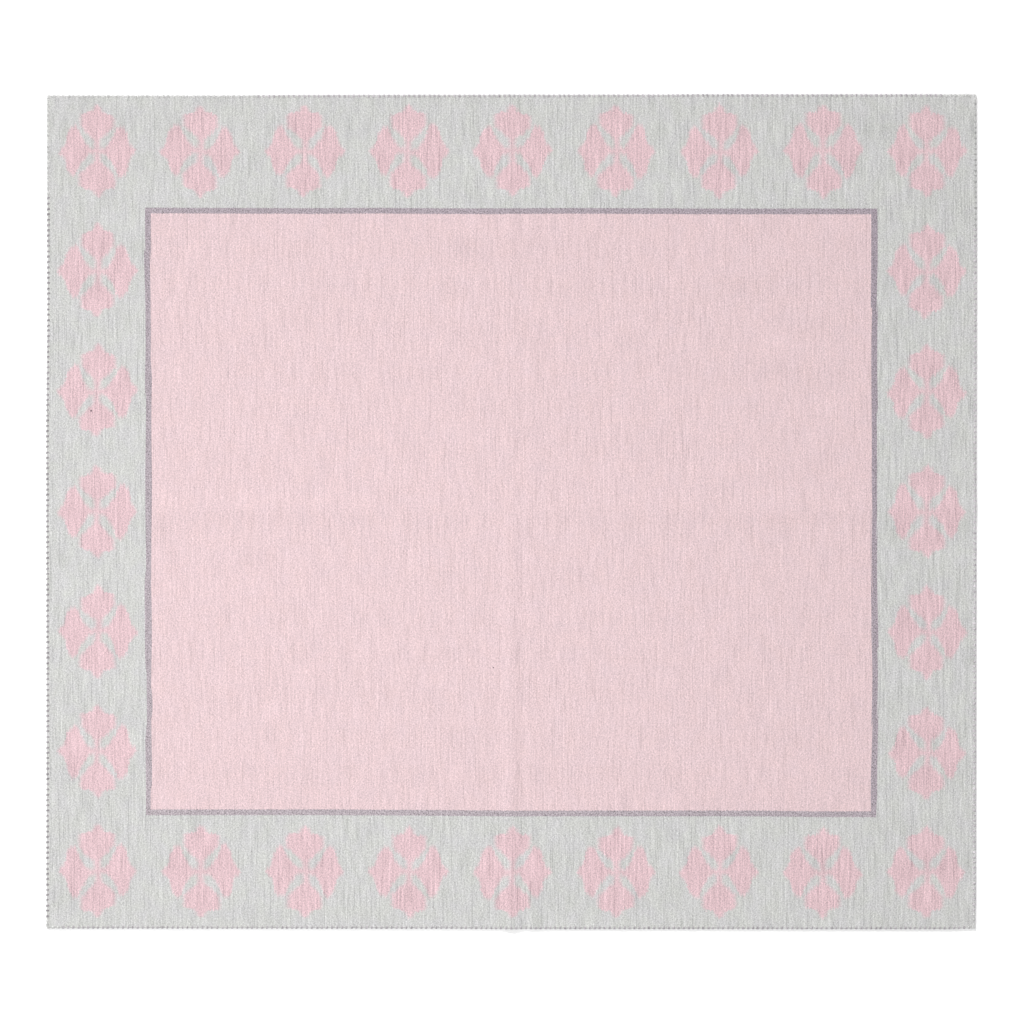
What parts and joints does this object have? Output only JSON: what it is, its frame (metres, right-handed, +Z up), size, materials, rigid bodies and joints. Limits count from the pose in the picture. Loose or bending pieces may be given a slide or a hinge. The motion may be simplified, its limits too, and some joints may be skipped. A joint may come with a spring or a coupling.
{
  "type": "flatweave rug",
  "caption": "Near-square flatweave rug lying flat, with a pink field, a plum-grey guard line and a pale grey border of pink petalled motifs.",
  "frame": {"origin": "middle of the outline's box, on the flat underside", "axes": "+X along the long side, +Y along the short side towards the back edge, +Z up through the cloth"},
  "size_m": [2.7422, 2.4616, 0.008],
  "materials": {
    "woven_cloth": "matte",
    "edge_yarn": "matte"
  },
  "bodies": {
    "root": {"rug_cloth": "woven_cloth"}
  },
  "joints": []
}
